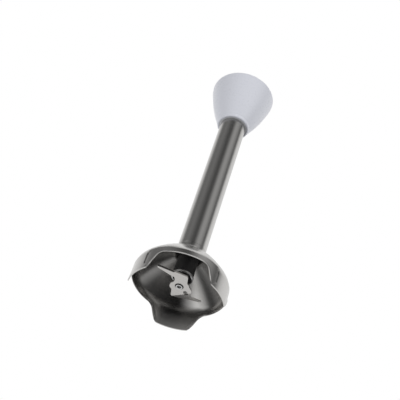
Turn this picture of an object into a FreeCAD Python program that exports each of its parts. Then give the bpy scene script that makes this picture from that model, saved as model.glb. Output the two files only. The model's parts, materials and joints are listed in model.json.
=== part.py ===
"""Blending foot of an immersion blender, the half that unplugs from the motor handle.

A white flared coupling takes the nose of the motor handle. A stainless tube carries a pressed bell
with three feet and three arches, and a drive shaft runs down the tube to a two-winged blade.
Millimetres, +Z up. The origin is on the shaft's axis, in the plane that the three feet stand on.
"""
import FreeCAD, Part
import math
import os
import re

import Sketcher

Vector = FreeCAD.Vector

# ---------------------------------------------------------------- driving dimensions
DIMENSIONS = {
    # bell guard, pressed from sheet
    "bell_radius": 33.5,
    "bell_wall": 0.8,
    "wall_top": 12.8,
    "shoulder_radius": 11.0,
    "shoulder_angle": 38.0,
    "crown_angle": 56.4,
    "neck_fillet": 4.0,
    "neck_top": 43.0,
    # arches between the feet, measured across the front of the bell
    "arch_rise": 12.0,
    "arch_top_half": 15.9,
    "arch_lean": 23.4,
    "arch_top_round": 5.0,
    "foot_round": 3.0,
    # pressed band round each arch
    "band_half": 24.2,
    "band_rise": 18.4,
    "band_inset": 0.5,
    "band_round": 7.0,
    "band_foot": 2.4,
    # tube
    "tube_radius": 10.0,
    "tube_wall": 0.8,
    "tube_top": 184.0,
    "inner_fit": 0.05,
    # lower bearing
    "housing_radius": 7.1,
    "housing_foot": 19.0,
    "housing_step": 40.0,
    "housing_top": 60.0,
    "seat_radius": 5.0,
    "seat_foot": 25.0,
    "seat_top": 46.5,
    "seal_pocket_radius": 5.9,
    "clip_bay_radius": 6.0,
    "ring_groove_foot": 49.2,
    "ring_groove_width": 2.0,
    "ring_groove_depth": 1.15,
    "bush_clearance": 0.03,
    "cap_wall": 0.45,
    "cap_foot": 18.2,
    "cap_rise": 1.4,
    "cap_hole_radius": 6.6,
    # drive shaft
    "shaft_radius": 2.5,
    "shaft_top": 201.0,
    "spigot_radius": 2.3,
    "spigot_foot": 10.4,
    "spigot_top": 13.0,
    "centre_hole_radius": 1.5,
    "centre_hole_depth": 3.0,
    "clip_groove_foot": 47.25,
    "clip_groove_width": 0.7,
    "clip_groove_depth": 0.4,
    # blade
    "blade_foot": 11.0,
    "blade_thick": 1.0,
    "blade_hole_radius": 3.05,
    "blade_turn": 186.5,
    "wing_bend": 12.0,
    "fold_angle": 141.7,
    "fold_inset": 8.13,
    "bevel_width": 0.9,
    "bevel_rise": 0.7,
    "bevel_length": 12.0,
    "rivet_radius": 3.0,
    "rivet_foot": 11.4,
    "hub_radius": 5.6,
    "hub_flange_top": 13.3,
    "hub_neck_radius": 3.6,
    "hub_top": 24.9,
    # guide half-way up the tube
    "guide_foot": 108.0,
    "guide_flange": 2.2,
    "guide_length": 10.0,
    "guide_core_radius": 5.2,
    "guide_bore_radius": 2.8,
    # upper bearing
    "carrier_foot": 166.0,
    "carrier_top": 186.0,
    "carrier_seat_radius": 4.0,
    "carrier_seat_foot": 172.0,
    "upper_bush_length": 11.0,
    "gasket_radius": 5.0,
    "gasket_thick": 1.4,
    # coupling core, the inner moulding
    "collar_foot": 177.1,
    "collar_radius": 11.1,
    "stem_radius": 12.2,
    "stem_foot": 183.0,
    "floor_foot": 186.0,
    "floor_top": 188.2,
    "floor_hole_radius": 3.6,
    "chamber_radius": 12.6,
    "chamber_wall": 1.4,
    "ledge_foot": 199.8,
    "ledge_top": 201.4,
    "socket_radius": 18.4,
    "socket_wall": 1.2,
    "flange_radius": 22.3,
    "flange_foot": 211.0,
    "flange_top": 212.6,
    "window_width": 8.0,
    "window_foot": 204.0,
    "window_height": 4.5,
    "key_width": 3.2,
    "key_depth": 4.0,
    # coupling cup, the outer skirt
    "cup_mouth_radius": 12.7,
    "cup_mouth_foot": 175.1,
    "cup_mouth_top": 177.4,
    "cup_mouth_round": 1.4,
    "cup_rim_radius": 24.9,
    "cup_rim_foot": 212.8,
    "cup_rim_top": 214.2,
    "cup_side_arc": 137.0,
    "cup_wall": 1.5,
    "cup_edge_round": 0.6,
    # fasteners and the drive dog
    "screw_count": 3,
    "screw_circle_radius": 6.8,
    "screw_radius": 1.1,
    "screw_foot": 178.8,
    "screw_head_radius": 2.1,
    "screw_head_height": 1.6,
    "pin_level": 179.4,
    "pin_radius": 1.0,
    "pin_inner": 7.2,
    "pin_outer": 11.0,
    "dog_foot": 190.6,
    "dog_collar_radius": 4.8,
    "dog_collar_height": 2.8,
    "dog_radius": 6.2,
    "dog_top": 197.0,
    "dog_flute_count": 6,
    "dog_flute_radius": 1.35,
    "dog_pin_radius": 0.8,
    "dog_pin_half": 4.6,
    "mouth_seal_foot": 175.2,
    "mouth_seal_height": 1.5,
}

doc = FreeCAD.newDocument("blending_foot")
sheet = doc.addObject("Spreadsheet::Sheet", "Params")
for row, (alias, size) in enumerate(DIMENSIONS.items(), start=1):
    sheet.set(f"A{row}", alias)
    sheet.set(f"B{row}", str(size))
    sheet.setAlias(f"B{row}", alias)
doc.recompute()

WORD = re.compile(r"[a-z_]+[a-z]")
nodes = {}


# ---------------------------------------------------------------- helpers
def bound(formula):
    """The formula with every dimension's name pointing at its cell in the sheet."""
    return WORD.sub(lambda m: "Params." + m[0] if m[0] in DIMENSIONS else m[0], str(formula))


def size_of(formula):
    """The number that a formula of dimensions gives."""
    found = sheet.evalExpression(bound(formula))
    return float(getattr(found, "Value", found))


def keep(label, made):
    """Labels a finished sub-part, so that it is written to its own file."""
    made.Label = label
    nodes[label] = made
    return made


def new_body(label):
    return doc.addObject("PartDesign::Body", label + "_body")


def pin_down(sketch, element, end, across, up):
    """Ties one end of a sketch element to the origin by two formulas."""
    for kind, axis, formula in (("DistanceX", -2, across), ("DistanceY", -1, up)):
        place = size_of(formula)
        if abs(place) < 1e-9:
            sketch.addConstraint(Sketcher.Constraint("PointOnObject", element, end, axis))
        elif place > 0:
            index = sketch.addConstraint(Sketcher.Constraint(kind, -1, 1, element, end, place))
            sketch.setExpression(f"Constraints[{index}]", bound(formula))
        else:
            index = sketch.addConstraint(Sketcher.Constraint(kind, element, end, -1, 1, -place))
            sketch.setExpression(f"Constraints[{index}]", bound(f"-({formula})"))


def outline(body, role, name, corners, lift=None):
    """A closed sketch on one of the body's origin planes.

    Each corner is (across, up) or (across, up, radius): with a radius the run to the next corner is
    an arc, whose centre lies on the left of the run for a positive radius and on its right otherwise.
    """
    sketch = body.newObject("Sketcher::SketchObject", name)
    plane = next(o for o in body.Origin.OriginFeatures if o.Role == role)
    sketch.AttachmentSupport = (plane, [""])
    sketch.MapMode = "FlatFace"
    if lift is not None:
        sketch.setExpression("AttachmentOffset.Base.z", bound(lift))
    points = [Vector(size_of(c[0]), size_of(c[1]), 0) for c in corners]
    ends = []
    for index, corner in enumerate(corners):
        start, stop = points[index], points[(index + 1) % len(points)]
        if len(corner) == 2:
            sketch.addGeometry(Part.LineSegment(start, stop), False)
            ends.append((1, 2))
            continue
        radius = size_of(corner[2])
        chord = stop - start
        left = Vector(-chord.y, chord.x, 0).normalize()
        reach = math.sqrt(radius ** 2 - chord.Length ** 2 / 4)
        centre = (start + stop) / 2 + left * math.copysign(reach, radius)
        angles = [math.atan2(p.y - centre.y, p.x - centre.x) for p in (start, stop)]
        if radius < 0:
            angles.reverse()
        circle = Part.Circle(centre, Vector(0, 0, 1), abs(radius))
        sketch.addGeometry(Part.ArcOfCircle(circle, *angles), False)
        ends.append((1, 2) if radius > 0 else (2, 1))
        tie = sketch.addConstraint(Sketcher.Constraint("Radius", index, abs(radius)))
        sign = "" if radius > 0 else "-"
        sketch.setExpression(f"Constraints[{tie}]", bound(f"{sign}({corner[2]})"))
    for index, (first, last) in enumerate(ends):
        following = (index + 1) % len(ends)
        sketch.addConstraint(
            Sketcher.Constraint("Coincident", index, last, following, ends[following][0])
        )
        pin_down(sketch, index, first, corners[index][0], corners[index][1])
    doc.recompute()
    return sketch


def turned(label, corners):
    """A body turned about Z from its half-section, given as (radius, height) corners."""
    body = new_body(label)
    sketch = outline(body, "XZ_Plane", label + "_section", corners)
    turn = body.newObject("PartDesign::Revolution", label + "_turn")
    turn.Profile = (sketch, [""])
    turn.ReferenceAxis = (sketch, ["V_Axis"])
    turn.Angle = 360
    doc.recompute()
    return body


def ring(label, inner, outer, foot, top):
    """A plain ring about Z."""
    return turned(label, [(inner, foot), (outer, foot), (outer, top), (inner, top)])


def padded(label, role, corners, length, lift=None, both_ways=False):
    """A body padded from a closed outline."""
    body = new_body(label)
    sketch = outline(body, role, label + "_outline", corners, lift)
    pad = body.newObject("PartDesign::Pad", label + "_pad")
    pad.Profile = (sketch, [""])
    pad.setExpression("Length", bound(length))
    pad.Midplane = both_ways
    doc.recompute()
    return body


def spread(body, count):
    """Repeats a body's last feature round Z."""
    pattern = body.newObject("PartDesign::PolarPattern", body.Label + "_round")
    pattern.Originals = [body.Tip]
    pattern.Axis = (next(o for o in body.Origin.OriginFeatures if o.Role == "Z_Axis"), [""])
    pattern.Angle = 360
    pattern.setExpression("Occurrences", bound(count))
    body.Tip = pattern
    doc.recompute()
    return body


def rod(label, radius, foot, top):
    """An upright round rod on Z, from one height to another."""
    made = doc.addObject("Part::Cylinder", label)
    made.setExpression("Radius", bound(radius))
    made.setExpression("Height", bound(f"({top}) - ({foot})"))
    made.setExpression("Placement.Base.z", bound(foot))
    return made


def aside(made, circle, angle):
    """Moves an upright rod out to a circle about Z, at an angle in degrees."""
    made.setExpression("Placement.Base.x", bound(f"({circle}) * cos({angle})"))
    made.setExpression("Placement.Base.y", bound(f"({circle}) * sin({angle})"))
    return made


def cross_rod(label, radius, near, far, level, angle):
    """A level round rod that points away from Z at an angle, from one distance to another."""
    made = doc.addObject("Part::Cylinder", label)
    made.setExpression("Radius", bound(radius))
    made.setExpression("Height", bound(f"({far}) - ({near})"))
    made.Placement.Rotation = FreeCAD.Rotation(Vector(0, 0, 1), angle).multiply(
        FreeCAD.Rotation(Vector(0, 1, 0), 90)
    )
    made.setExpression("Placement.Base.x", bound(f"({near}) * cos({angle})"))
    made.setExpression("Placement.Base.y", bound(f"({near}) * sin({angle})"))
    made.setExpression("Placement.Base.z", bound(level))
    return made


def joined(label, *pieces):
    made = doc.addObject("Part::MultiFuse", label + "_fuse")
    made.Shapes = list(pieces)
    doc.recompute()
    return made


def cut_from(label, base, *tools):
    made = doc.addObject("Part::Cut", label + "_cut")
    made.Base = base
    made.Tool = tools[0] if len(tools) == 1 else joined(label + "_tools", *tools)
    doc.recompute()
    return made


def round_edges(body, label, radius, chosen):
    """Fillets the edges of a body's last feature that the test picks."""
    base = body.Tip
    names = [f"Edge{i}" for i, e in enumerate(base.Shape.Edges, start=1) if chosen(e)]
    fillet = body.newObject("PartDesign::Fillet", label + "_round")
    fillet.Base = (base, names)
    fillet.setExpression("Radius", bound(radius))
    doc.recompute()
    return body


# ---------------------------------------------------------------- bell guard
# The section is a plumb wall, a tight shoulder arc, a long crown arc and a hollow fillet into the neck.
SHOULDER_R = "bell_radius - shoulder_radius * (1 - cos(shoulder_angle))"
SHOULDER_Z = "wall_top + shoulder_radius * sin(shoulder_angle)"
CROWN_END_R = "tube_radius + neck_fillet * (1 - cos(crown_angle))"
CROWN_ARC = f"(({SHOULDER_R}) - ({CROWN_END_R})) / (cos(shoulder_angle) - cos(crown_angle))"
CROWN_END_Z = f"({SHOULDER_Z}) + ({CROWN_ARC}) * (sin(crown_angle) - sin(shoulder_angle))"
NECK_FOOT = f"({CROWN_END_Z}) + neck_fillet * sin(crown_angle)"


def bell_section(inset):
    """Half-section of the solid bell, its curved outside drawn in by inset."""
    return [
        ("0", "0"),
        (f"bell_radius - {inset}", "0"),
        (f"bell_radius - {inset}", "wall_top", f"shoulder_radius - {inset}"),
        (
            f"{SHOULDER_R} - {inset} * cos(shoulder_angle)",
            f"{SHOULDER_Z} - {inset} * sin(shoulder_angle)",
            f"({CROWN_ARC}) - {inset}",
        ),
        (
            f"{CROWN_END_R} - {inset} * cos(crown_angle)",
            f"{CROWN_END_Z} - {inset} * sin(crown_angle)",
            f"-(neck_fillet + {inset})",
        ),
        (f"tube_radius - {inset}", NECK_FOOT),
        (f"tube_radius - {inset}", "neck_top"),
        ("0", "neck_top"),
    ]


def bell_shell(label, inset):
    """The bell's sheet: the solid between two bell sections one wall apart."""
    outside = turned(label + "_outside", bell_section(inset))
    inside = turned(label + "_inside", bell_section(f"({inset} + bell_wall)"))
    return cut_from(label, outside, inside)


def arch_outline():
    """The opening between two feet: a flat top, round top corners, leaning sides, eased foot corners."""
    lean_x, lean_z = "sin(arch_lean)", "cos(arch_lean)"
    top_run = "(arch_top_round * tan(45 - arch_lean / 2))"
    foot_run = "(foot_round * tan(45 - arch_lean / 2))"
    foot_half = "(arch_top_half + arch_rise * tan(arch_lean))"
    right = [
        (f"{foot_half} + {foot_run}", "0", "-foot_round"),
        (f"{foot_half} - {foot_run} * {lean_x}", f"{foot_run} * {lean_z}"),
        (f"arch_top_half + {top_run} * {lean_x}", f"arch_rise - {top_run} * {lean_z}", "arch_top_round"),
        (f"arch_top_half - {top_run}", "arch_rise"),
    ]
    left = [
        (f"-({right[3][0]})", right[3][1], "arch_top_round"),
        (f"-({right[2][0]})", right[2][1]),
        (f"-({right[1][0]})", right[1][1], "-foot_round"),
        (f"-({right[0][0]})", "0"),
    ]
    below = "-1"
    return right + left + [(f"-({right[0][0]})", below), (right[0][0], below)]


def band_outline():
    """The pressed band's outer edge: plumb sides that turn in to the feet, and a wide round top."""
    right = [
        ("band_half - band_foot", "0"),
        ("band_half", "band_foot"),
        ("band_half", "band_rise - band_round", "band_round"),
        ("band_half - band_round", "band_rise"),
    ]
    left = [
        (f"-({right[3][0]})", right[3][1], "band_round"),
        (f"-({right[2][0]})", right[2][1]),
        (f"-({right[1][0]})", right[1][1]),
        (f"-({right[0][0]})", "0"),
    ]
    below = "-1"
    return right + left + [(f"-({right[0][0]})", below), (right[0][0], below)]


def front_prisms(label, corners):
    """The outline pushed out over the front of the bell, and again at each third of a turn."""
    return spread(padded(label, "XZ_Plane", corners, "bell_radius + bell_wall * 2"), "3")


sheet_bell = bell_shell("sheet_bell", "0")
sheet_band = bell_shell("sheet_band", "band_inset")
band_zone = front_prisms("band_zone", band_outline())
arch_zone = front_prisms("arch_zone", arch_outline())
plain_sheet = cut_from("plain_sheet", sheet_bell, band_zone)
pressed_band = doc.addObject("Part::MultiCommon", "pressed_band")
pressed_band.Shapes = [sheet_band, band_zone]
doc.recompute()
keep("bell_guard", cut_from("bell_guard", joined("bell_whole", plain_sheet, pressed_band), arch_zone))

# ---------------------------------------------------------------- tube
bare_tube = ring("bare_tube", "tube_radius - tube_wall", "tube_radius", "neck_top", "tube_top")
PIN_ANGLES = (0, 180)
INNER = "(tube_radius - tube_wall - inner_fit)"


def pin_holes(label):
    """The two level holes that the lock pins go through."""
    return [
        cross_rod(f"{label}_{angle}", "pin_radius", "pin_inner", "pin_outer + 3", "pin_level", angle)
        for angle in PIN_ANGLES
    ]


keep("shaft_tube", cut_from("shaft_tube", bare_tube, *pin_holes("tube_hole")))
keep(
    "tube_lock_pins",
    joined(
        "tube_lock_pins",
        *[
            cross_rod(f"lock_pin_{angle}", "pin_radius", "pin_inner", "pin_outer", "pin_level", angle)
            for angle in PIN_ANGLES
        ],
    ),
)

# ---------------------------------------------------------------- lower bearing
GROOVE_FLOOR = f"{INNER} - ring_groove_depth"
GROOVE_TOP = "ring_groove_foot + ring_groove_width"
keep(
    "bearing_housing",
    turned(
        "bearing_housing",
        [
            ("seal_pocket_radius", "housing_foot"),
            ("housing_radius", "housing_foot"),
            ("housing_radius", "housing_step"),
            (INNER, "housing_step + 0.8"),
            (INNER, "ring_groove_foot"),
            (GROOVE_FLOOR, "ring_groove_foot"),
            (GROOVE_FLOOR, GROOVE_TOP),
            (INNER, GROOVE_TOP),
            (INNER, "housing_top"),
            ("clip_bay_radius", "housing_top"),
            ("clip_bay_radius", "seat_top"),
            ("seat_radius", "seat_top"),
            ("seat_radius", "seat_foot"),
            ("seal_pocket_radius", "seat_foot"),
        ],
    ),
)

o_ring = doc.addObject("Part::Torus", "housing_o_ring_torus")
o_ring.setExpression("Radius2", bound("(ring_groove_depth + inner_fit) / 2 - 0.02"))
o_ring.setExpression("Radius1", bound("tube_radius - tube_wall - (ring_groove_depth + inner_fit) / 2"))
o_ring.setExpression("Placement.Base.z", bound("ring_groove_foot + ring_groove_width / 2"))
keep("housing_o_ring", o_ring)

BUSH_BORE = "shaft_radius + bush_clearance"
keep("lower_bush", ring("lower_bush", BUSH_BORE, "seat_radius", "seat_foot + 0.8", "seat_top"))
keep(
    "thrust_washer",
    ring("thrust_washer", "shaft_radius + 0.1", "seat_radius - 0.1", "seat_foot + 0.1", "seat_foot + 0.7"),
)
SEAL_LIP = "hub_neck_radius + 0.05"
keep(
    "shaft_seal",
    turned(
        "shaft_seal",
        [
            (SEAL_LIP, "housing_foot + 0.9"),
            ("seal_pocket_radius", "housing_foot + 0.4"),
            ("seal_pocket_radius", "seat_foot - 0.2"),
            ("seal_pocket_radius - 1.2", "seat_foot - 0.2"),
            ("seal_pocket_radius - 1.2", "housing_foot + 2.4"),
            ("hub_neck_radius + 0.5", "housing_foot + 2.9"),
            (SEAL_LIP, "housing_foot + 1.6"),
        ],
    ),
)
CAP_RADIUS = "housing_radius + cap_wall + inner_fit"
seal_cap = turned(
    "seal_cap",
    [
        ("cap_hole_radius", "cap_foot"),
        (CAP_RADIUS, "cap_foot"),
        (CAP_RADIUS, "cap_foot + cap_rise"),
        ("housing_radius + inner_fit", "cap_foot + cap_rise"),
        ("housing_radius + inner_fit", "housing_foot - 0.1"),
        ("cap_hole_radius", "housing_foot - 0.1"),
    ],
)


def is_ring_at(edge, radius, height):
    """True for a full round edge about Z of that radius and height."""
    curve = edge.Curve
    return (
        isinstance(curve, Part.Circle)
        and abs(curve.Radius - size_of(radius)) < 1e-3
        and abs(curve.Center.z - size_of(height)) < 1e-3
    )


round_edges(seal_cap, "seal_cap", "cap_wall", lambda e: is_ring_at(e, CAP_RADIUS, "cap_foot"))
keep("seal_cap", seal_cap)

# ---------------------------------------------------------------- guide half-way up the tube
keep(
    "middle_guide",
    turned(
        "middle_guide",
        [
            ("guide_bore_radius", "guide_foot"),
            (INNER, "guide_foot"),
            (INNER, "guide_foot + guide_flange"),
            ("guide_core_radius", "guide_foot + guide_flange"),
            ("guide_core_radius", "guide_foot + guide_length - guide_flange"),
            (INNER, "guide_foot + guide_length - guide_flange"),
            (INNER, "guide_foot + guide_length"),
            ("guide_bore_radius", "guide_foot + guide_length"),
        ],
    ),
)

# ---------------------------------------------------------------- upper bearing
SCREW_ANGLES = [90 + 360 / DIMENSIONS["screw_count"] * step for step in range(DIMENSIONS["screw_count"])]


def screw_rods(label, radius, foot, top):
    """One upright rod at each screw's place."""
    return [
        aside(rod(f"{label}_{angle:.0f}", radius, foot, top), "screw_circle_radius", angle)
        for angle in SCREW_ANGLES
    ]


carrier = turned(
    "carrier_blank",
    [
        ("carrier_seat_radius - 0.8", "carrier_foot"),
        (INNER, "carrier_foot"),
        (INNER, "carrier_top"),
        ("gasket_radius", "carrier_top"),
        ("gasket_radius", "carrier_top - gasket_thick - 0.1"),
        ("carrier_seat_radius", "carrier_top - gasket_thick - 0.1"),
        ("carrier_seat_radius", "carrier_seat_foot"),
        ("carrier_seat_radius - 0.8", "carrier_seat_foot"),
    ],
)
keep(
    "bearing_carrier",
    cut_from(
        "bearing_carrier",
        carrier,
        *screw_rods("carrier_bore", "screw_radius", "screw_foot", "carrier_top + 1"),
        *pin_holes("carrier_hole"),
    ),
)
keep(
    "upper_bush",
    ring(
        "upper_bush",
        BUSH_BORE,
        "carrier_seat_radius",
        "carrier_seat_foot",
        "carrier_seat_foot + upper_bush_length",
    ),
)
keep(
    "shaft_gasket",
    ring(
        "shaft_gasket",
        "shaft_radius + 0.1",
        "gasket_radius",
        "carrier_top - gasket_thick",
        "carrier_top",
    ),
)

# ---------------------------------------------------------------- coupling core
core = turned(
    "core_blank",
    [
        ("tube_radius + inner_fit", "collar_foot"),
        ("collar_radius", "collar_foot"),
        ("collar_radius", "stem_foot - 1.4"),
        ("stem_radius", "stem_foot"),
        ("stem_radius", "floor_foot"),
        ("chamber_radius + chamber_wall", "floor_foot"),
        ("chamber_radius + chamber_wall", "ledge_foot"),
        ("socket_radius + socket_wall", "ledge_foot"),
        ("socket_radius + socket_wall", "flange_foot"),
        ("flange_radius", "flange_foot"),
        ("flange_radius", "flange_top"),
        ("socket_radius", "flange_top"),
        ("socket_radius", "ledge_top"),
        ("chamber_radius", "ledge_top"),
        ("chamber_radius", "floor_top"),
        ("floor_hole_radius", "floor_top"),
        ("floor_hole_radius", "floor_foot"),
        ("tube_radius + inner_fit", "floor_foot"),
    ],
)


def block(label, width, foot, top, reach):
    """An upright slab on the XY plane, as wide as asked and long enough to cross the socket."""
    return padded(
        label,
        "XY_Plane",
        [
            (f"-({reach[0]})", f"-({width}) / 2"),
            (reach[1], f"-({width}) / 2"),
            (reach[1], f"({width}) / 2"),
            (f"-({reach[0]})", f"({width}) / 2"),
        ],
        f"({top}) - ({foot})",
        foot,
    )


windows = block(
    "latch_windows", "window_width", "window_foot", "window_foot + window_height",
    ("flange_radius", "flange_radius"),
)
keyway = padded(
    "keyway",
    "XY_Plane",
    [
        ("-key_width / 2", "socket_radius - 1"),
        ("key_width / 2", "socket_radius - 1"),
        ("key_width / 2", "flange_radius + 1"),
        ("-key_width / 2", "flange_radius + 1"),
    ],
    "key_depth",
    "flange_top - key_depth",
)
keep(
    "coupling_core",
    cut_from(
        "coupling_core",
        core,
        windows,
        keyway,
        *screw_rods("floor_hole", "screw_radius + 0.15", "floor_foot - 1", "floor_top + 1"),
        *pin_holes("collar_hole"),
    ),
)

# ---------------------------------------------------------------- coupling cup
def cup_section(inset):
    """Half-section of the solid cup, its side drawn in by inset."""
    return [
        ("0", "cup_mouth_foot"),
        (f"cup_mouth_radius - {inset}", "cup_mouth_foot"),
        (f"cup_mouth_radius - {inset}", "cup_mouth_top", f"cup_side_arc - {inset}"),
        (f"cup_rim_radius - {inset}", "cup_rim_foot"),
        (f"cup_rim_radius - {inset}", "cup_rim_top"),
        ("0", "cup_rim_top"),
    ]


cup_outside = turned("cup_outside", cup_section("0"))
round_edges(
    cup_outside,
    "cup_rim",
    "cup_edge_round",
    lambda e: is_ring_at(e, "cup_rim_radius", "cup_rim_top"),
)
round_edges(
    cup_outside,
    "cup_mouth",
    "cup_mouth_round",
    lambda e: is_ring_at(e, "cup_mouth_radius", "cup_mouth_foot"),
)
cup_inside = turned("cup_inside", cup_section("cup_wall"))
keep("coupling_cup", cut_from("coupling_cup", cup_outside, cup_inside))
keep(
    "mouth_seal",
    ring(
        "mouth_seal",
        "tube_radius + 0.02",
        "cup_mouth_radius - cup_wall - 0.2",
        "mouth_seal_foot",
        "mouth_seal_foot + mouth_seal_height",
    ),
)

# ---------------------------------------------------------------- core screws
HEAD_TOP = "floor_top + screw_head_height"
shanks = screw_rods("screw_shank", "screw_radius", "screw_foot", "floor_top + 0.2")
heads = screw_rods("screw_head", "screw_head_radius", "floor_top", HEAD_TOP)


def drive_slots():
    """Two crossed slots in each screw's head."""
    made = []
    for angle in SCREW_ANGLES:
        for turn in (0, 90):
            slot = doc.addObject("Part::Box", f"slot_{angle:.0f}_{turn}")
            slot.Length, slot.Width = 2.6, 0.6
            slot.setExpression("Height", bound("screw_head_height / 2"))
            facing = FreeCAD.Rotation(Vector(0, 0, 1), turn)
            middle = facing.multVec(Vector(slot.Length.Value / 2, slot.Width.Value / 2, 0))
            out = size_of("screw_circle_radius")
            place = Vector(out * math.cos(math.radians(angle)), out * math.sin(math.radians(angle)), 0)
            place.z = size_of(HEAD_TOP) - slot.Height.Value
            slot.Placement = FreeCAD.Placement(place - middle, facing)
            made.append(slot)
    return made


keep("core_screws", cut_from("core_screws", joined("whole_screws", *shanks, *heads), *drive_slots()))

# ---------------------------------------------------------------- drive shaft
GROOVE_RADIUS = "shaft_radius - clip_groove_depth"
CLIP_TOP = "clip_groove_foot + clip_groove_width"
shaft_blank = turned(
    "shaft_blank",
    [
        ("centre_hole_radius", "spigot_foot"),
        ("spigot_radius", "spigot_foot"),
        ("spigot_radius", "spigot_top"),
        ("shaft_radius", "spigot_top"),
        ("shaft_radius", "clip_groove_foot"),
        (GROOVE_RADIUS, "clip_groove_foot"),
        (GROOVE_RADIUS, CLIP_TOP),
        ("shaft_radius", CLIP_TOP),
        ("shaft_radius", "shaft_top - 0.5"),
        ("shaft_radius - 0.5", "shaft_top"),
        ("0", "shaft_top"),
        ("0", "spigot_foot + centre_hole_depth + 0.8"),
        ("centre_hole_radius", "spigot_foot + centre_hole_depth"),
    ],
)
DOG_PIN_LEVEL = "dog_foot + dog_collar_height / 2"


def dog_pin_rod(label):
    """The level pin that keys the drive dog to the shaft."""
    return cross_rod(label, "dog_pin_radius", "-dog_pin_half", "dog_pin_half", DOG_PIN_LEVEL, 0)


keep("drive_shaft", cut_from("drive_shaft", shaft_blank, dog_pin_rod("shaft_cross_hole")))

# ---------------------------------------------------------------- drive dog
dog_blank = turned(
    "dog_blank",
    [
        ("shaft_radius", "dog_foot"),
        ("dog_collar_radius", "dog_foot"),
        ("dog_collar_radius", "dog_foot + dog_collar_height"),
        ("dog_radius", "dog_foot + dog_collar_height + 0.6"),
        ("dog_radius", "dog_top - 1.4"),
        ("dog_radius - 1.4", "dog_top"),
        ("shaft_radius", "dog_top"),
    ],
)
FLUTE_STEP = 360 / DIMENSIONS["dog_flute_count"]
flutes = [
    aside(
        rod(f"dog_flute_{step}", "dog_flute_radius", "dog_foot + dog_collar_height", "dog_top + 1"),
        "dog_radius",
        step * FLUTE_STEP,
    )
    for step in range(DIMENSIONS["dog_flute_count"])
]
keep("drive_dog", cut_from("drive_dog", dog_blank, *flutes, dog_pin_rod("dog_cross_hole")))
keep("dog_pin", dog_pin_rod("dog_pin_rod"))

# ---------------------------------------------------------------- clip and washer over the lower bush
keep(
    "shaft_washer",
    ring(
        "shaft_washer",
        "shaft_radius + 0.05",
        "clip_bay_radius - 0.8",
        "seat_top + 0.05",
        "seat_top + 0.65",
    ),
)
clip_ring = ring(
    "clip_ring",
    GROOVE_RADIUS,
    "clip_bay_radius - 1.4",
    "clip_groove_foot + 0.05",
    "clip_groove_foot + 0.65",
)
clip_mouth = padded(
    "clip_mouth",
    "XY_Plane",
    [
        ("0", "-shaft_radius * 0.7"),
        ("clip_bay_radius", "-shaft_radius * 0.7"),
        ("clip_bay_radius", "shaft_radius * 0.7"),
        ("0", "shaft_radius * 0.7"),
    ],
    "2",
    "clip_groove_foot - 0.5",
)
keep("retaining_clip", cut_from("retaining_clip", clip_ring, clip_mouth))

# ---------------------------------------------------------------- blade hub
keep(
    "blade_hub",
    turned(
        "blade_hub",
        [
            ("rivet_radius", "blade_foot + blade_thick"),
            ("hub_radius", "blade_foot + blade_thick"),
            ("hub_radius", "hub_flange_top - 0.5"),
            ("hub_radius - 0.5", "hub_flange_top"),
            ("hub_neck_radius", "hub_flange_top"),
            ("hub_neck_radius", "hub_top"),
            ("shaft_radius", "hub_top"),
            ("shaft_radius", "spigot_top"),
            ("rivet_radius", "spigot_top"),
        ],
    ),
)
keep("blade_rivet", ring("blade_rivet", "spigot_radius", "rivet_radius", "rivet_foot", "spigot_top"))

# ---------------------------------------------------------------- blade
# One stamping: a bar across the shaft with a tapered wing from each end, the second half a turn
# from the first. The first wing is flat and begins at an open relief. The second wing is folded up
# along a slanting line that ends in an oblong relief with a lug round it. The long edge of each wing
# is ground to a bevel.
OPEN_SIDE = [("6.4", "-2.3"), ("6.2", "0.8"), ("4.8", "2.4", "-5.4"), ("5.4", "8.0"), ("6.9", "8.1")]
LUG_SIDE = [("6.4", "-2.5"), ("8.6", "0.6"), ("9.2", "3.8"), ("9.2", "8.0"), ("10.0", "9.3")]
WING = [("17.5", "12.1"), ("18.0", "14.4")]
BAR_END = [("-1.6", "12.7", "1.9"), ("-3.7", "11.0"), ("-4.4", "5.1"), ("-5.5", "4.4")]
RELIEF = [("6.4", "3.4"), ("7.3", "5.4", "1.45"), ("4.7", "6.6"), ("3.8", "4.6", "1.45")]


def opposite(corners):
    """The same corners half a turn further round."""
    return [(f"-({c[0]})", f"-({c[1]})", *c[2:]) for c in corners]


def bevel_cutter(label):
    """A block with one face on the first wing's bevel."""
    tip = Vector(float(WING[-1][0]), float(WING[-1][1]), size_of("blade_foot"))
    root = Vector(float(BAR_END[0][0]), float(BAR_END[0][1]), size_of("blade_foot"))
    along = (root - tip).normalize()
    outward = Vector(0, 0, 1).cross(root - tip).normalize() * -1
    slope = outward * size_of("bevel_width") + Vector(0, 0, size_of("bevel_rise"))
    start = tip - outward * size_of("bevel_width") - along * 0.5 - slope * 0.3
    block = doc.addObject("Part::Box", label)
    block.setExpression("Length", bound("bevel_length + 0.5"))
    block.setExpression("Width", bound("bevel_width * 3"))
    block.setExpression("Height", bound("bevel_width * 2"))
    slope.normalize()
    facing = FreeCAD.Rotation(along, slope, along.cross(slope), "XYZ")
    block.Placement = FreeCAD.Placement(start, facing)
    return block


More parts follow.
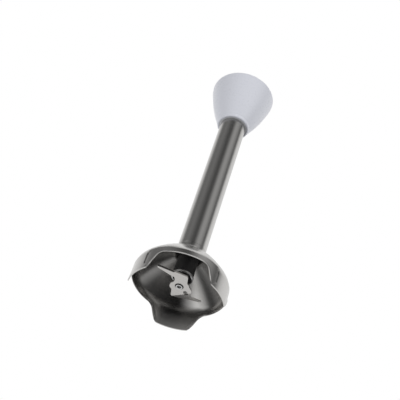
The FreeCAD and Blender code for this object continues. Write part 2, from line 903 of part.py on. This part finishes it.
first_bevel = bevel_cutter("first_bevel")
second_bevel = bevel_cutter("second_bevel")
half_turn = FreeCAD.Placement(Vector(0, 0, 0), FreeCAD.Rotation(Vector(0, 0, 1), 180))
second_bevel.Placement = half_turn.multiply(second_bevel.Placement)
stamping = cut_from(
    "stamping",
    padded(
        "blade_blank",
        "XY_Plane",
        OPEN_SIDE + WING + BAR_END + opposite(LUG_SIDE + WING + BAR_END),
        "blade_thick",
        "blade_foot",
    ),
    rod("blade_bore", "blade_hole_radius", "5", "20"),
    padded("blade_relief", "XY_Plane", opposite(RELIEF), "blade_thick * 3", "blade_foot - blade_thick"),
    first_bevel,
    second_bevel,
)
fold_line = FreeCAD.Rotation(Vector(0, 0, 1), size_of("fold_angle"))
fold_point = fold_line.multVec(Vector(0, size_of("fold_inset"), 0)) + Vector(0, 0, size_of("blade_foot"))
beyond_fold = doc.addObject("Part::Box", "beyond_fold")
beyond_fold.Length, beyond_fold.Width, beyond_fold.Height = 80, 30, 6
beyond_fold.Placement = FreeCAD.Placement(fold_point - fold_line.multVec(Vector(40, 0, 3)), fold_line)
flat_part = cut_from("blade_flat", stamping, beyond_fold)
folded_wing = doc.addObject("Part::MultiCommon", "folded_wing")
folded_wing.Shapes = [stamping, beyond_fold]
folded_wing.Placement = FreeCAD.Placement(
    Vector(0, 0, 0),
    FreeCAD.Rotation(fold_line.multVec(Vector(1, 0, 0)), size_of("wing_bend")),
    fold_point,
)
blade = joined("blade", flat_part, folded_wing)
blade.setExpression("Placement.Rotation.Angle", bound("blade_turn"))
keep("blade", blade)


# ---------------------------------------------------------------- check and write
doc.recompute()
for thing in doc.Objects:
    if {"Invalid", "Error"} & set(thing.State):
        raise SystemExit(f"{thing.Label} failed: {thing.State}")
os.makedirs("parts", exist_ok=True)
for label, thing in nodes.items():
    shape = thing.Shape
    if shape.isNull() or not shape.isValid() or not shape.Solids:
        raise SystemExit(f"{label} is not a valid solid")
    shape.exportStep(f"parts/{label}.step")
    print(f"{label:18} solids {len(shape.Solids)}  volume {shape.Volume:10.2f} mm3")
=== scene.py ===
import json
import math

import bmesh
import bpy
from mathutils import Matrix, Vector


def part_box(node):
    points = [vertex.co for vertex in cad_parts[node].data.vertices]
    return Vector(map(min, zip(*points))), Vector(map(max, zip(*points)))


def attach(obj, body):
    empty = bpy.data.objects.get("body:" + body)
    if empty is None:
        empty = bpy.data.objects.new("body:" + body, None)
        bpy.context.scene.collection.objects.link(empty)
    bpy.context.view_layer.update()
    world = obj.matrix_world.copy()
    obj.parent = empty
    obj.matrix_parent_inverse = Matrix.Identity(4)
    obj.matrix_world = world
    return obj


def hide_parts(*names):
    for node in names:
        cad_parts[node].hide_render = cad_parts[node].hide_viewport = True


# The blending foot as it looks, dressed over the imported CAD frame. Metres, +Z up.
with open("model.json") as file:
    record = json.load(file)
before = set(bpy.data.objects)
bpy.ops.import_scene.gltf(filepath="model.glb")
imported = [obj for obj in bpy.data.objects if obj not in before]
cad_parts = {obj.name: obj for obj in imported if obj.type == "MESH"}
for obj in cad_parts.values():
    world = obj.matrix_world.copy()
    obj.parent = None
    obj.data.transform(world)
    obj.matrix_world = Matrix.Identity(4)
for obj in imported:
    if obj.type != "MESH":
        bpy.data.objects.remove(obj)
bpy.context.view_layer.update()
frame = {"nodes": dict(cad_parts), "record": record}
MM = 0.001

# ---------------------------------------------------------------- sizes of the foot, millimetres
BELL_RADIUS = 33.5
BELL_WALL = 0.8
WALL_TOP = 12.8
SHOULDER = 11.0
SHOULDER_ANGLE = math.radians(38.0)
CROWN_ANGLE = math.radians(56.4)
NECK_FILLET = 4.0
NECK_TOP = 43.0
TUBE_RADIUS = 10.0
ARCH_RISE = 12.0
ARCH_LEAN = math.radians(23.4)
ARCH_TOP_HALF = 15.9
ARCH_ROUND = 5.0
FOOT_ROUND = 3.0
BAND_HALF = 24.2
BAND_RISE = 18.4
BAND_ROUND = 7.0
BAND_RADIUS = 33.0
RIM_FLARE = 0.5
RIM_FLARE_WIDTH = 1.8
BAND_FOOT_IN = 3.0
BAND_FOOT_UP = 4.0
BAND_FOOT_ROUND = 3.0
BAND_ZONE_TOP = 22.0
FLARE_FADE = 4.0
TUBE_WALL = 0.8
TUBE_CHAMFER = 0.15
TUBE_CHAMFER_RISE = 0.2
NECK_GAP = 0.02

# ---------------------------------------------------------------- mesh density
ROUND_STEPS = 12
BELL_COLUMNS = 540
BELL_ROWS = 110
ROW_CROWDING = 1.5


# ---------------------------------------------------------------- materials
def new_material(name, color, roughness, metallic=0.0):
    """A material with its plain values on the shader, and the tree to add procedural detail to."""
    made = bpy.data.materials.new(name)
    made.use_nodes = True
    shader = made.node_tree.nodes["Principled BSDF"]
    shader.inputs["Base Color"].default_value = (*color, 1.0)
    shader.inputs["Roughness"].default_value = roughness
    shader.inputs["Metallic"].default_value = metallic
    return made, made.node_tree, shader


def add(tree, kind, **inputs):
    """A new node with some of its inputs set, spaces in their names written as underscores."""
    node = tree.nodes.new(kind)
    for key, value in inputs.items():
        node.inputs[key.replace("_", " ")].default_value = value
    return node


def even_noise(tree, scale):
    """Noise over the object's own coordinates."""
    where = tree.nodes.new("ShaderNodeTexCoord")
    noise = add(tree, "ShaderNodeTexNoise", Scale=scale, Detail=3.0)
    tree.links.new(where.outputs["Object"], noise.inputs["Vector"])
    return noise


def ramp(tree, source, low, high):
    """Squeezes a 0 to 1 value into a narrower range."""
    node = add(tree, "ShaderNodeMapRange", To_Min=low, To_Max=high)
    tree.links.new(source, node.inputs["Value"])
    return node.outputs["Result"]


def ring_noise(tree, scale):
    """Noise that changes with the distance from Z and with height, and so lies in rings round Z."""
    where = tree.nodes.new("ShaderNodeTexCoord")
    parts = tree.nodes.new("ShaderNodeSeparateXYZ")
    flat = tree.nodes.new("ShaderNodeCombineXYZ")
    reach = tree.nodes.new("ShaderNodeVectorMath")
    reach.operation = "LENGTH"
    ring = tree.nodes.new("ShaderNodeCombineXYZ")
    noise = add(tree, "ShaderNodeTexNoise", Scale=scale, Detail=3.0)
    tree.links.new(where.outputs["Object"], parts.inputs["Vector"])
    tree.links.new(parts.outputs["X"], flat.inputs["X"])
    tree.links.new(parts.outputs["Y"], flat.inputs["Y"])
    tree.links.new(flat.outputs["Vector"], reach.inputs[0])
    tree.links.new(reach.outputs["Value"], ring.inputs["X"])
    tree.links.new(parts.outputs["Z"], ring.inputs["Z"])
    tree.links.new(ring.outputs["Vector"], noise.inputs["Vector"])
    return noise


def steel(name, color, roughness, spread=0.04, scale=1800.0, bump=0.02, drawn=0.75):
    """Brushed stainless: fine rings round Z that draw each reflection out across them."""
    made, tree, shader = new_material(name, color, roughness, 1.0)
    noise = ring_noise(tree, scale)
    shader.inputs["Anisotropic"].default_value = drawn
    shader.inputs["Anisotropic Rotation"].default_value = 0.25
    tangent = tree.nodes.new("ShaderNodeTangent")
    tangent.direction_type = "RADIAL"
    tangent.axis = "Z"
    tree.links.new(tangent.outputs["Tangent"], shader.inputs["Tangent"])
    rough = ramp(tree, noise.outputs["Fac"], roughness - spread, roughness + spread)
    tree.links.new(rough, shader.inputs["Roughness"])
    bumps = add(tree, "ShaderNodeBump", Strength=bump, Distance=0.0002)
    tree.links.new(noise.outputs["Fac"], bumps.inputs["Height"])
    tree.links.new(bumps.outputs["Normal"], shader.inputs["Normal"])
    return made


def scatter_low(made, low, high, metallic):
    """Makes a metal scatter more light below one height, easing back to clean metal at another."""
    tree = made.node_tree
    where = tree.nodes.new("ShaderNodeTexCoord")
    parts = tree.nodes.new("ShaderNodeSeparateXYZ")
    rise = add(tree, "ShaderNodeMapRange", From_Min=low, From_Max=high, To_Min=metallic)
    tree.links.new(where.outputs["Object"], parts.inputs["Vector"])
    tree.links.new(parts.outputs["Z"], rise.inputs["Value"])
    tree.links.new(rise.outputs["Result"], tree.nodes["Principled BSDF"].inputs["Metallic"])


def plastic(name, color, roughness, grain=0.03, scale=900.0):
    """Moulded plastic with a faint grain."""
    made, tree, shader = new_material(name, color, roughness)
    noise = even_noise(tree, scale)
    rough = ramp(tree, noise.outputs["Fac"], roughness - 0.03, roughness + 0.03)
    tree.links.new(rough, shader.inputs["Roughness"])
    bumps = add(tree, "ShaderNodeBump", Strength=grain, Distance=0.0001)
    tree.links.new(noise.outputs["Fac"], bumps.inputs["Height"])
    tree.links.new(bumps.outputs["Normal"], shader.inputs["Normal"])
    return made


looks = {
    "white_plastic": plastic("white_plastic", (0.75, 0.765, 0.83), 0.28),
    "brushed_steel": steel("brushed_steel", (0.60, 0.59, 0.575), 0.22),
    "ground_steel": steel("ground_steel", (0.56, 0.56, 0.56), 0.20),
    "blade_steel": steel("blade_steel", (0.56, 0.545, 0.53), 0.28, drawn=0.0),
    "black_steel": steel("black_steel", (0.04, 0.04, 0.042), 0.35, drawn=0.0),
    "grey_rubber": plastic("grey_rubber", (0.74, 0.75, 0.78), 0.5),
    "bronze": plastic("bronze", (0.42, 0.27, 0.11), 0.5, grain=0.1),
    "black_rubber": plastic("black_rubber", (0.015, 0.015, 0.016), 0.6),
    "acetal": plastic("acetal", (0.03, 0.03, 0.032), 0.45),
}
looks["inside_steel"] = steel("inside_steel", (0.60, 0.59, 0.575), 0.24)
scatter_low(looks["inside_steel"], 0.002, 0.013, 0.77)
looks["bronze"].node_tree.nodes["Principled BSDF"].inputs["Metallic"].default_value = 0.9


def wear(thing, look):
    thing.data.materials.clear()
    thing.data.materials.append(looks[look])


for part in frame["record"]["subparts"]:
    wear(frame["nodes"][part["node"]], part["material_slot"])

# The drill point at the foot of the shaft ends in one spot, where points that coincide are joined.
weld = frame["nodes"]["drive_shaft"].modifiers.new("weld", "WELD")
weld.merge_threshold = 0.001 * MM


# ---------------------------------------------------------------- meshes
def mesh_object(name, points, faces, look, rides="foot"):
    """An object from points in millimetres and faces, shaded smooth."""
    mesh = bpy.data.meshes.new(name)
    mesh.from_pydata([Vector(p) * MM for p in points], [], faces)
    built = bmesh.new()
    built.from_mesh(mesh)
    bmesh.ops.recalc_face_normals(built, faces=built.faces)
    built.to_mesh(mesh)
    built.free()
    mesh.polygons.foreach_set("use_smooth", [True] * len(mesh.polygons))
    made = bpy.data.objects.new(name, mesh)
    bpy.context.scene.collection.objects.link(made)
    wear(made, look)
    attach(made, rides)
    return made


def lathe(name, outline, look, steps=192):
    """Turns a closed (radius, height) outline about Z."""
    count = len(outline)
    points = [
        (r * math.cos(math.tau * k / steps), r * math.sin(math.tau * k / steps), z)
        for k in range(steps)
        for r, z in outline
    ]
    faces = []
    for k in range(steps):
        for i in range(count):
            j = (i + 1) % count
            a, b = k * count, (k + 1) % steps * count
            faces.append((a + i, b + i, b + j, a + j))
    return mesh_object(name, points, faces, look)


def sharpen(thing, angle):
    """Marks the edges that turn by more than an angle as sharp, so shading breaks there."""
    built = bmesh.new()
    built.from_mesh(thing.data)
    for edge in built.edges:
        if edge.is_manifold and edge.calc_face_angle() > math.radians(angle):
            edge.smooth = False
    built.to_mesh(thing.data)
    built.free()


def arc(centre, radius, start, stop, steps):
    """Points on an arc, angles in radians."""
    return [
        (
            centre[0] + radius * math.cos(start + (stop - start) * k / steps),
            centre[1] + radius * math.sin(start + (stop - start) * k / steps),
        )
        for k in range(steps + 1)
    ]


# ---------------------------------------------------------------- bell guard
def bell_profile():
    """The bell's outside from the feet up to the neck, as closely spaced (radius, height) points."""
    shoulder_end_r = BELL_RADIUS - SHOULDER * (1 - math.cos(SHOULDER_ANGLE))
    shoulder_end_z = WALL_TOP + SHOULDER * math.sin(SHOULDER_ANGLE)
    crown_end_r = TUBE_RADIUS + NECK_FILLET * (1 - math.cos(CROWN_ANGLE))
    crown = (shoulder_end_r - crown_end_r) / (math.cos(SHOULDER_ANGLE) - math.cos(CROWN_ANGLE))
    crown_end_z = shoulder_end_z + crown * (math.sin(CROWN_ANGLE) - math.sin(SHOULDER_ANGLE))
    shoulder = arc((BELL_RADIUS - SHOULDER, WALL_TOP), SHOULDER, 0, SHOULDER_ANGLE, 24)
    crown_centre = (
        shoulder_end_r - crown * math.cos(SHOULDER_ANGLE),
        shoulder_end_z - crown * math.sin(SHOULDER_ANGLE),
    )
    crown_run = arc(crown_centre, crown, SHOULDER_ANGLE, CROWN_ANGLE, 40)
    neck_centre = (TUBE_RADIUS + NECK_FILLET, crown_end_z + NECK_FILLET * math.sin(CROWN_ANGLE))
    neck_run = arc(neck_centre, NECK_FILLET, math.pi + CROWN_ANGLE, math.pi, 16)
    wall = [(BELL_RADIUS, WALL_TOP * k / 36) for k in range(36)]
    neck = [(TUBE_RADIUS, NECK_TOP)]
    return wall + shoulder + crown_run[1:] + neck_run[1:] + neck


def rounded_run(corners):
    """A polyline through (across, up, radius) corners, each rounded by its radius."""
    run = []
    for index, (x, z, radius) in enumerate(corners):
        here = Vector((x, z))
        if not radius:
            run.append(here)
            continue
        back = (Vector(corners[index - 1][:2]) - here).normalized()
        ahead = (Vector(corners[index + 1][:2]) - here).normalized()
        half = back.angle(ahead) / 2
        reach = radius / math.tan(half)
        first, last = here + back * reach, here + ahead * reach
        centre = here + (back + ahead).normalized() * (radius / math.sin(half))
        for step in range(ROUND_STEPS + 1):
            chord = first.lerp(last, step / ROUND_STEPS) - centre
            run.append(centre + chord.normalized() * radius)
    return run


def arch_run():
    """The rim of one arch, half of it, from the floor inside a foot up to the arch's middle."""
    foot_half = ARCH_TOP_HALF + ARCH_RISE * math.tan(ARCH_LEAN)
    return rounded_run(
        [
            (foot_half + 8.0, 0.0, 0),
            (foot_half, 0.0, FOOT_ROUND),
            (ARCH_TOP_HALF, ARCH_RISE, ARCH_ROUND),
            (0.0, ARCH_RISE, 0),
        ]
    )


def band_run():
    """The crease round one arch, half of it, from the floor up to the middle."""
    return rounded_run(
        [
            (BAND_HALF - BAND_FOOT_IN, 0.0, 0),
            (BAND_HALF, BAND_FOOT_UP, BAND_FOOT_ROUND),
            (BAND_HALF, BAND_RISE, BAND_ROUND),
            (0.0, BAND_RISE, 0),
        ]
    )


def height_at(run, across):
    """How high a run stands at a distance across from the arch's middle."""
    for a, b in zip(run, run[1:]):
        if min(a.x, b.x) <= across <= max(a.x, b.x) and abs(a.x - b.x) > 1e-6:
            return a.y + (b.y - a.y) * (across - a.x) / (b.x - a.x)
    return 0.0


def distance_to(run, point):
    """The shortest distance from a point to a run."""
    best = 1e9
    for a, b in zip(run, run[1:]):
        leg = b - a
        along = max(0.0, min(1.0, (point - a).dot(leg) / max(leg.length_squared, 1e-12)))
        best = min(best, (point - a - leg * along).length)
    return best


def inside_band(run, point):
    """True on the arch's side of the crease."""
    if point.x >= BAND_HALF:
        return False
    foot = max(0.0, BAND_FOOT_UP * (point.x - BAND_HALF + BAND_FOOT_IN) / BAND_FOOT_IN)
    ahead = [p.y for p in run if p.x >= point.x]
    return foot <= point.y <= max(ahead, default=0.0)


def rim_flare(distance):
    """How far the sheet turns outward, by the distance from the arch's rim."""
    return RIM_FLARE * max(0.0, 1 - distance / RIM_FLARE_WIDTH) ** 2


def build_bell():
    """The bell as one sheet: columns of points round Z, each running from the rim up to the neck."""
    profile = bell_profile()
    rim, crease = arch_run(), band_run()
    lengths = [0.0]
    for (r0, z0), (r1, z1) in zip(profile, profile[1:]):
        lengths.append(lengths[-1] + math.hypot(r1 - r0, z1 - z0))

    def on_profile(length):
        """The place and the outward direction at a length along the profile."""
        for i in range(1, len(lengths)):
            if length <= lengths[i] or i == len(lengths) - 1:
                t = (length - lengths[i - 1]) / (lengths[i] - lengths[i - 1])
                r0, z0 = profile[i - 1]
                r1, z1 = profile[i]
                across = Vector((r1 - r0, z1 - z0)).normalized()
                return r0 + (r1 - r0) * t, z0 + (z1 - z0) * t, (across.y, -across.x)

    columns, rows = BELL_COLUMNS, BELL_ROWS
    cache = {}
    points = []
    for k in range(columns):
        angle = math.tau * k / columns
        off = (math.degrees(angle) - 270.0 + 60.0) % 120.0 - 60.0
        mirrored = round(abs(off), 6)
        if mirrored not in cache:
            column = []
            across = BELL_RADIUS * math.sin(math.radians(min(mirrored, 60.0)))
            start = height_at(rim, across)
            for row in range(rows):
                share = row / (rows - 1)
                length = start + (lengths[-1] - start) * share ** ROW_CROWDING
                r, z, out = on_profile(length)
                spot = Vector((across, min(z, BAND_ZONE_TOP)))
                offset = turn_out = 0.0
                if z < BAND_ZONE_TOP and inside_band(crease, spot):
                    turn_out = rim_flare(distance_to(rim, spot)) * min(1.0, z / FLARE_FADE)
                    offset = min(0.0, BAND_RADIUS - r) + turn_out
                inner = BELL_WALL - turn_out
                column.append(
                    (
                        r + out[0] * offset,
                        z + out[1] * offset,
                        r - out[0] * inner,
                        z - out[1] * inner,
                    )
                )
            cache[mirrored] = column
        for r, z, r_in, z_in in cache[mirrored]:
            points.append((r * math.cos(angle), r * math.sin(angle), max(z, 0.0)))
        for r, z, r_in, z_in in cache[mirrored]:
            points.append((r_in * math.cos(angle), r_in * math.sin(angle), max(z_in, 0.0)))
    faces = []
    stride = 2 * rows
    for k in range(columns):
        a, b = k * stride, (k + 1) % columns * stride
        for row in range(rows - 1):
            faces.append((a + row, b + row, b + row + 1, a + row + 1))
            faces.append((a + rows + row, a + rows + row + 1, b + rows + row + 1, b + rows + row))
        faces.append((a, a + rows, b + rows, b))
        faces.append((a + rows - 1, b + rows - 1, b + stride - 1, a + stride - 1))
    made = mesh_object("bell_sheet", points, faces, "brushed_steel")
    sharpen(made, 40)
    made.data.materials.append(looks["inside_steel"])
    for face in made.data.polygons:
        if all(corner % stride >= rows for corner in face.vertices):
            face.material_index = 1
    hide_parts("bell_guard")
    return made


build_bell()

# ---------------------------------------------------------------- tube
tube_low, tube_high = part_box("shaft_tube")
tube_foot = tube_low.z / MM + NECK_GAP
tube_top = tube_high.z / MM
tube = lathe(
    "tube_sheet",
    [
        (TUBE_RADIUS - TUBE_WALL, tube_foot),
        (TUBE_RADIUS - TUBE_CHAMFER, tube_foot),
        (TUBE_RADIUS, tube_low.z / MM + TUBE_CHAMFER_RISE),
        (TUBE_RADIUS, tube_top),
        (TUBE_RADIUS - TUBE_WALL, tube_top),
    ],
    "brushed_steel",
)
sharpen(tube, 30)
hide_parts("shaft_tube")


# ---------------------------------------------------------------- camera
def aim(thing, target, up):
    """Turns a camera or a lamp to look at a target, keeping an up direction."""
    back = (thing.location - Vector(target)).normalized()
    right = Vector(up).cross(back).normalized()
    true_up = back.cross(right)
    turn = thing.matrix_world.to_3x3()
    turn.col[0], turn.col[1], turn.col[2] = right, true_up, back
    thing.rotation_mode = "QUATERNION"
    thing.rotation_quaternion = turn.to_quaternion()


camera_data = bpy.data.cameras.new("camera")
camera_data.lens = 79.93
camera_data.sensor_width = 36.0
camera = bpy.data.objects.new("camera", camera_data)
bpy.context.scene.collection.objects.link(camera)
camera.location = (0.04823, -0.47180, -0.34422)
aim(camera, (0.00213, -0.06908, 0.02753), (-0.2524, -0.6718, 0.6965))
bpy.context.scene.camera = camera


# ---------------------------------------------------------------- studio
def soft_light(name, place, target, size, power):
    """A rectangular lamp aimed at a target."""
    data = bpy.data.lights.new(name, "AREA")
    data.shape = "RECTANGLE"
    data.size, data.size_y = size
    data.energy = power
    made = bpy.data.objects.new(name, data)
    bpy.context.scene.collection.objects.link(made)
    made.location = place
    aim(made, target, (0, 0, 1))
    return made


def floor():
    """A pale floor under the feet that shows only from above."""
    mesh = bpy.data.meshes.new("floor")
    mesh.from_pydata([(-2, -2, 0), (2, -2, 0), (2, 2, 0), (-2, 2, 0)], [], [(0, 1, 2, 3)])
    made = bpy.data.objects.new("floor", mesh)
    bpy.context.scene.collection.objects.link(made)
    pale, tree, shader = new_material("floor_pale", (0.86, 0.86, 0.86), 0.8)
    shader.inputs["Emission Color"].default_value = (1.0, 1.0, 1.0, 1.0)
    shader.inputs["Emission Strength"].default_value = 0.3
    clear = tree.nodes.new("ShaderNodeBsdfTransparent")
    side = tree.nodes.new("ShaderNodeNewGeometry")
    mix = tree.nodes.new("ShaderNodeMixShader")
    tree.links.new(side.outputs["Backfacing"], mix.inputs[0])
    tree.links.new(shader.outputs["BSDF"], mix.inputs[1])
    tree.links.new(clear.outputs["BSDF"], mix.inputs[2])
    tree.links.new(mix.outputs["Shader"], tree.nodes["Material Output"].inputs["Surface"])
    mesh.materials.append(pale)
    made.visible_diffuse = False
    made.visible_glossy = False
    made.visible_transmission = False
    made.visible_shadow = False


# How bright the surroundings are, by the angle from the front towards +X, above and below the foot.
# Given as bright boxes with dark gaps between them.
UPPER_SHADES = [(-180, 0.9), (-155, 1.05), (-110, 0.65), (-95, 0.25), (-85, 0.17), (-50, 0.22),
                (-10, 0.09), (5, 0.1), (30, 0.4), (45, 0.42), (65, 0.3), (80, 0.1), (90, 0.2),
                (100, 0.7), (115, 0.87), (180, 0.9)]
LOWER_SHADES = [(-180, 0.9), (-150, 0.7), (-115, 0.25), (-95, 0.05), (-85, 0.05), (-75, 0.5),
                (-55, 1.0), (-40, 0.55), (-20, 0.1), (-10, 0.0), (85, 0.05), (100, 0.25),
                (110, 0.4), (125, 0.2), (140, 0.4), (180, 0.9)]


def shade_ramp(tree, source, shades):
    """A ramp from a list of (angle, brightness), over a full turn."""
    node = tree.nodes.new("ShaderNodeValToRGB")
    stops = node.color_ramp.elements
    stops[0].position = 0.0
    stops[1].position = 1.0
    for angle, shade in shades:
        place = (angle + 180) / 360
        ends = {0.0: 0, 1.0: -1}
        stop = stops[ends[place]] if place in ends else stops.new(place)
        stop.color = (shade, shade, shade, 1.0)
    tree.links.new(source.outputs["Result"], node.inputs["Fac"])
    return node


def studio_world():
    """Surroundings that the steel mirrors, with plain white behind the foot for the camera."""
    world = bpy.data.worlds.new("studio")
    world.use_nodes = True
    tree = world.node_tree
    tree.nodes.clear()
    out = tree.nodes.new("ShaderNodeOutputWorld")
    where = tree.nodes.new("ShaderNodeTexCoord")
    parts = tree.nodes.new("ShaderNodeSeparateXYZ")
    tree.links.new(where.outputs["Generated"], parts.inputs["Vector"])
    turn = tree.nodes.new("ShaderNodeMath")
    turn.operation = "ARCTAN2"
    tree.links.new(parts.outputs["X"], turn.inputs[0])
    back = tree.nodes.new("ShaderNodeMath")
    back.operation = "MULTIPLY"
    back.inputs[1].default_value = -1.0
    tree.links.new(parts.outputs["Y"], back.inputs[0])
    tree.links.new(back.outputs["Value"], turn.inputs[1])
    scaled = add(tree, "ShaderNodeMapRange", From_Min=-math.pi, From_Max=math.pi)
    tree.links.new(turn.outputs["Value"], scaled.inputs["Value"])
    upper = shade_ramp(tree, scaled, UPPER_SHADES)
    lower = shade_ramp(tree, scaled, LOWER_SHADES)
    side = add(tree, "ShaderNodeMapRange", From_Min=-0.10, From_Max=0.10)
    tree.links.new(parts.outputs["Z"], side.inputs["Value"])
    band = tree.nodes.new("ShaderNodeMix")
    band.data_type = "RGBA"
    tree.links.new(side.outputs["Result"], band.inputs[0])
    tree.links.new(lower.outputs["Color"], band.inputs[6])
    tree.links.new(upper.outputs["Color"], band.inputs[7])
    overhead = add(tree, "ShaderNodeMapRange", From_Min=0.93, From_Max=0.985)
    tree.links.new(parts.outputs["Z"], overhead.inputs["Value"])
    sky = tree.nodes.new("ShaderNodeMix")
    sky.data_type = "RGBA"
    tree.links.new(overhead.outputs["Result"], sky.inputs[0])
    tree.links.new(band.outputs[2], sky.inputs[6])
    sky.inputs[7].default_value = (1.0, 1.0, 1.0, 1.0)
    lit = tree.nodes.new("ShaderNodeBackground")
    tree.links.new(sky.outputs[2], lit.inputs["Color"])
    white = tree.nodes.new("ShaderNodeBackground")
    white.inputs["Color"].default_value = (1, 1, 1, 1)
    path = tree.nodes.new("ShaderNodeLightPath")
    mix = tree.nodes.new("ShaderNodeMixShader")
    tree.links.new(path.outputs["Is Camera Ray"], mix.inputs[0])
    tree.links.new(lit.outputs["Background"], mix.inputs[1])
    tree.links.new(white.outputs["Background"], mix.inputs[2])
    tree.links.new(mix.outputs["Shader"], out.inputs["Surface"])
    bpy.context.scene.world = world


def soft_boxes():
    """Two wide lamps that light only what scatters, so the steel mirrors nothing but the surroundings."""
    for name, place, power in (
        ("left_box", (-2.7, -3.6, -1.5), 108.0),
        ("right_box", (3.6, -2.7, 0.6), 122.0),
    ):
        lamp = soft_light(name, place, (0, 0, 0.15), (3.0, 3.0), power)
        lamp.visible_glossy = False
        lamp.visible_camera = False


floor()
studio_world()
soft_boxes()
bpy.context.scene.view_settings.view_transform = "Standard"
